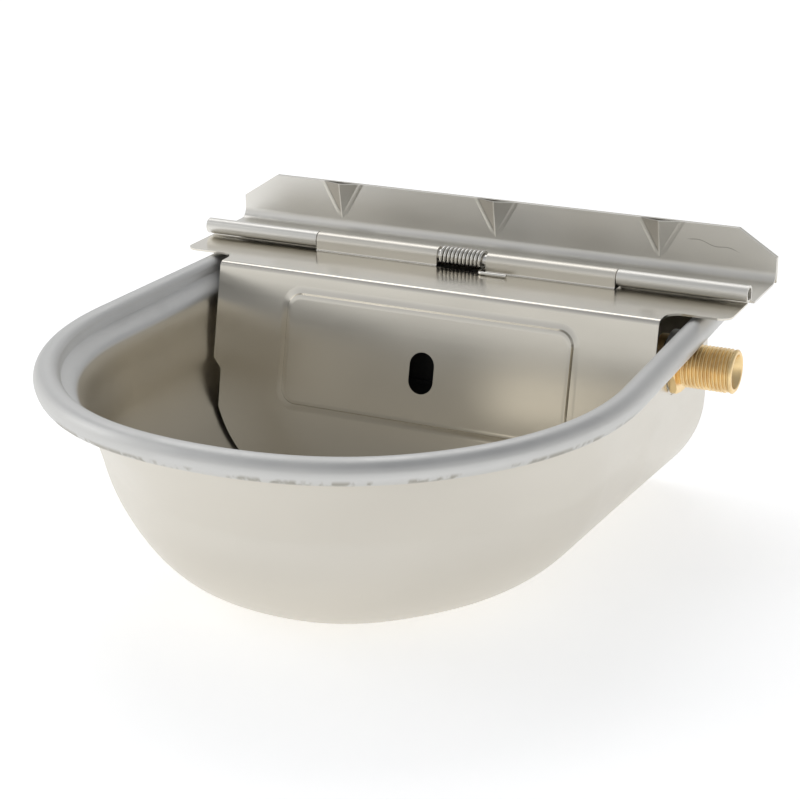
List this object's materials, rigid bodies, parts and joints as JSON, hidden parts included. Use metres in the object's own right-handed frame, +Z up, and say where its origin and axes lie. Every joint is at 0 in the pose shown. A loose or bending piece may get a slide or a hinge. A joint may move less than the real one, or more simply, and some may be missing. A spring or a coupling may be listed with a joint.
{
  "type": "livestock drinking bowl",
  "caption": "Wall-mounted pressed stainless livestock drinking bowl: D-shaped basin with a rolled rim, sprung hinged cover, and a side-inlet float valve behind the cover's baffle.",
  "frame": {"origin": "on the wall plane, midway between the two wall bolts", "axes": "+Z up, +Y into the wall (the bowl stands out along -Y), +X along the hinge towards the water inlet"},
  "size_m": [0.2962, 0.3058, 0.1358],
  "materials": {
    "basin": "drawn stainless sheet, satin, rim ground matte",
    "wall_plate": "satin stainless sheet",
    "hinge_leaf": "satin stainless sheet",
    "tack_welds": "raw weld bead",
    "hinge_pin": "drawn stainless rod",
    "torsion_spring": "spring wire",
    "cover_flap": "satin stainless sheet",
    "valve_body": "machined brass",
    "lock_nut": "machined brass",
    "outer_washer": "stainless washer",
    "inner_gasket": "black rubber",
    "valve_nozzle": "white plastic",
    "seal_disc": "black rubber",
    "valve_piston": "white plastic",
    "pivot_pin": "stainless rod",
    "pin_clip": "stainless clip",
    "float_lever": "stainless strap",
    "float_screw": "stainless screw",
    "float_nut": "stainless nut",
    "float_insert": "moulded-in brass insert",
    "float_upper": "black moulded plastic",
    "float_lower": "black moulded plastic"
  },
  "bodies": {
    "bowl": {"basin": "basin", "wall_plate": "wall_plate", "hinge_leaf": "hinge_leaf", "tack_welds": "tack_welds", "hinge_pin": "hinge_pin", "torsion_spring": "torsion_spring", "valve_body": "valve_body", "lock_nut": "lock_nut", "outer_washer": "outer_washer", "inner_gasket": "inner_gasket", "valve_nozzle": "valve_nozzle", "pivot_pin": "pivot_pin", "pin_clip": "pin_clip"},
    "cover": {"cover_flap": "cover_flap"},
    "piston": {"valve_piston": "valve_piston", "seal_disc": "seal_disc"},
    "float_arm": {"float_lever": "float_lever", "float_screw": "float_screw", "float_nut": "float_nut", "float_insert": "float_insert", "float_upper": "float_upper", "float_lower": "float_lower"}
  },
  "joints": [
    {"name": "cover_hinge", "type": "hinge", "parent": "bowl", "child": "cover", "pos_m": [0, -0.0427, 0.0249], "axis": [-1, 0, 0], "range_deg": [0, 105], "stiffness_Nm_per_rad": 0.15, "springref_deg": -34.38, "deforming": ["torsion_spring"]},
    {"name": "float_pivot", "type": "hinge", "parent": "bowl", "child": "float_arm", "pos_m": [0.0865, -0.067, -0.0145], "axis": [0, 1, 0], "range_deg": [0, 8.9]},
    {"name": "piston_slide", "type": "slide", "parent": "bowl", "child": "piston", "axis": [1, 0, 0], "range_m": [0, 0.0014]}
  ],
  "couplings": [
    {"joint": "piston_slide", "follows": "float_pivot", "m_per_rad": 0.009}
  ]
}
